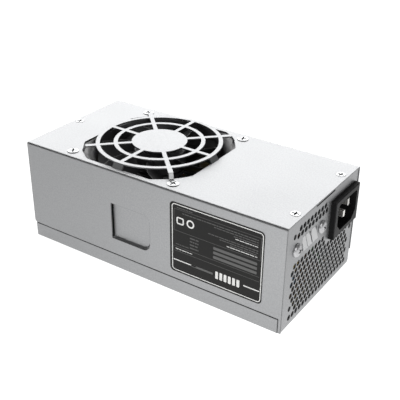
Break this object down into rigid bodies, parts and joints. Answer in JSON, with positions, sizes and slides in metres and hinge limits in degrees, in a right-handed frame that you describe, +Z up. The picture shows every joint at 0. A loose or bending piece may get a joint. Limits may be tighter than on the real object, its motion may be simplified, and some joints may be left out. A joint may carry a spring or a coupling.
{
  "type": "power supply unit",
  "caption": "Slim steel-cased computer power supply with a top fan under a raised grille, a perforated rear panel and a three-pin mains inlet.",
  "frame": {"origin": "centre of the base's outer face, halfway between the two end faces of the cover", "axes": "+X along the case towards the mains inlet panel, -Y towards the long side wall with the label, +Z up through the fan and grille"},
  "size_m": [0.1791, 0.0851, 0.067],
  "materials": {
    "zinc_steel": "satin zinc-plated sheet steel",
    "bright_screw": "bright nickel-plated screws",
    "black_inlet": "satin black moulded plastic",
    "fan_plastic": "black moulded plastic",
    "label_film": "printed black film, satin",
    "pin_metal": "tin-plated brass pins",
    "brass_plate": "plain brass",
    "bearing_bronze": "sintered bronze",
    "silicon_steel": "stacked laminations",
    "motor_steel": "drawn steel",
    "magnet_ferrite": "bonded ferrite",
    "copper_enamel": "enamelled copper wire",
    "green_board": "solder-masked board",
    "tan_board": "phenolic board",
    "white_nylon": "natural nylon",
    "sheet_film": "fish paper",
    "wire_pvc": "PVC insulation",
    "earth_pvc": "green and yellow PVC insulation",
    "fuse_glass": "clear glass tube",
    "ferrite_core": "sintered ferrite",
    "yellow_tape": "polyester tape",
    "yellow_core": "coated iron powder",
    "x_box": "moulded capacitor box",
    "y_disc": "dipped ceramic disc",
    "thermistor_disc": "dipped ceramic disc",
    "capacitor_sleeve": "heat-shrunk sleeve",
    "small_capacitor_sleeve": "heat-shrunk sleeve",
    "heatsink_aluminium": "extruded, as rolled",
    "epoxy_black": "moulded epoxy"
  },
  "bodies": {
    "case": {"top_cover": "zinc_steel", "chassis": "zinc_steel", "selector_blank": "zinc_steel", "cover_screws": "bright_screw", "selector_screws": "bright_screw", "fan_screws": "bright_screw", "side_label": "label_film", "cable_grommet": "black_inlet", "insulating_sheet": "sheet_film", "fan_frame": "fan_plastic", "fan_bearing": "bearing_bronze", "stator_core": "silicon_steel", "stator_coils": "copper_enamel", "fan_circuit_board": "green_board", "fan_lead": "wire_pvc", "fan_plug": "white_nylon", "fan_header": "white_nylon", "ac_inlet_body": "black_inlet", "line_and_neutral_pins": "pin_metal", "earth_pin": "pin_metal", "mains_wires": "wire_pvc", "earth_wire": "earth_pvc", "earth_lug": "pin_metal", "earth_screw": "brass_plate", "main_circuit_board": "tan_board", "board_standoffs": "brass_plate", "board_screws": "bright_screw", "mains_fuse": "fuse_glass", "fuse_clips": "pin_metal", "inrush_thermistor": "thermistor_disc", "x_capacitors": "x_box", "y_capacitors": "y_disc", "choke_core": "ferrite_core", "choke_windings": "copper_enamel", "bridge_rectifier": "epoxy_black", "bulk_capacitors": "capacitor_sleeve", "primary_heatsink": "heatsink_aluminium", "switching_transistors": "epoxy_black", "secondary_heatsink": "heatsink_aluminium", "output_rectifiers": "epoxy_black", "transistor_screws": "bright_screw", "main_transformer_core": "ferrite_core", "main_transformer_winding": "yellow_tape", "driver_transformer": "yellow_tape", "standby_transformer": "yellow_tape", "output_choke_core": "yellow_core", "output_choke_winding": "copper_enamel", "output_capacitors": "small_capacitor_sleeve", "control_board": "green_board", "control_chips": "epoxy_black"},
    "fan_rotor": {"fan_impeller": "fan_plastic", "rotor_yoke": "motor_steel", "rotor_magnet": "magnet_ferrite", "fan_shaft": "motor_steel", "shaft_clip": "white_nylon"}
  },
  "joints": [
    {"name": "fan_spin", "type": "hinge", "parent": "case", "child": "fan_rotor", "pos_m": [-0.0212, 0, 0.0552], "axis": [0, 0, 1], "continuous": true}
  ]
}
